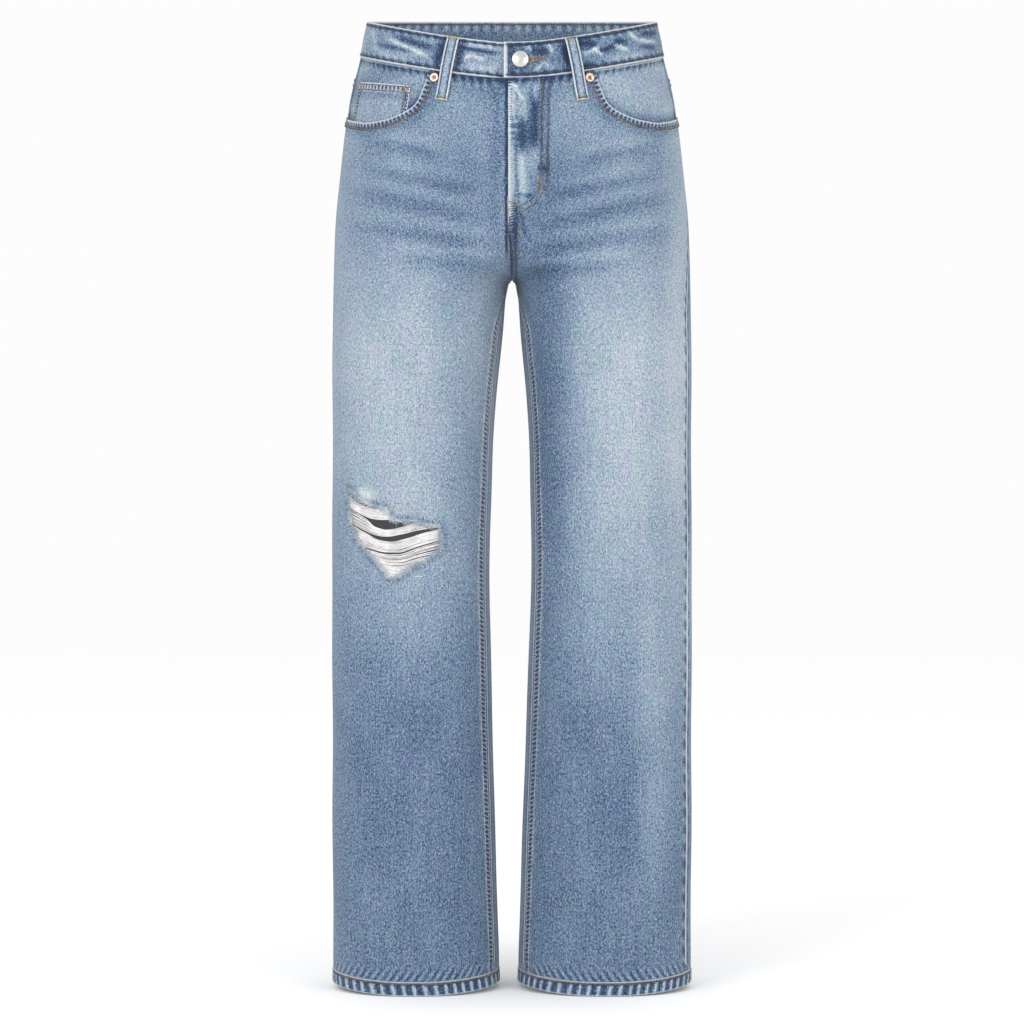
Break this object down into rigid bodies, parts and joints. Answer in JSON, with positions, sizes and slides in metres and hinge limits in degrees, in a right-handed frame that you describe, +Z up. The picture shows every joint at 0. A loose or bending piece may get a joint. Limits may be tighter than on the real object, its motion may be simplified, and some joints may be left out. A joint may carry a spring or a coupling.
{
  "type": "ripped jeans",
  "caption": "Wide-leg ripped denim jeans, filled out as if worn and empty inside, with waist, legs and hems open and a torn knee bridged by bare threads.",
  "frame": {"origin": "centre of the waist opening, level with the top of the waistband at the side seams", "axes": "+Z up towards the waist, -Y towards the front, +X towards the wearer's left"},
  "size_m": [0.3819, 0.2431, 1.0412],
  "materials": {
    "washed_denim": "stone-washed light blue twill with faded thighs and knees",
    "band_denim": "stone-washed twill in folded layers, with worn pale edges",
    "torn_weft": "bare white cotton threads",
    "button_metal": "satin silver",
    "rivet_metal": "worn antique copper",
    "top_stitching": "matt tan sewing thread"
  },
  "bodies": {
    "root": {"waistband": "band_denim", "front_right": "washed_denim", "front_left": "washed_denim", "back_right": "washed_denim", "back_left": "washed_denim", "yoke_right": "washed_denim", "yoke_left": "washed_denim", "pocket_facing_right": "washed_denim", "pocket_facing_left": "washed_denim", "back_pocket_right": "washed_denim", "back_pocket_left": "washed_denim", "hem_right": "washed_denim", "hem_left": "washed_denim", "coin_pocket": "washed_denim", "belt_loop_front_right": "band_denim", "belt_loop_front_left": "band_denim", "belt_loop_side_right": "band_denim", "belt_loop_side_left": "band_denim", "belt_loop_back": "band_denim", "torn_band_1": "torn_weft", "torn_band_2": "torn_weft", "torn_band_3": "torn_weft", "torn_band_4": "torn_weft", "torn_band_5": "torn_weft", "button": "button_metal", "rivet_right": "rivet_metal", "rivet_left": "rivet_metal"}
  },
  "joints": []
}
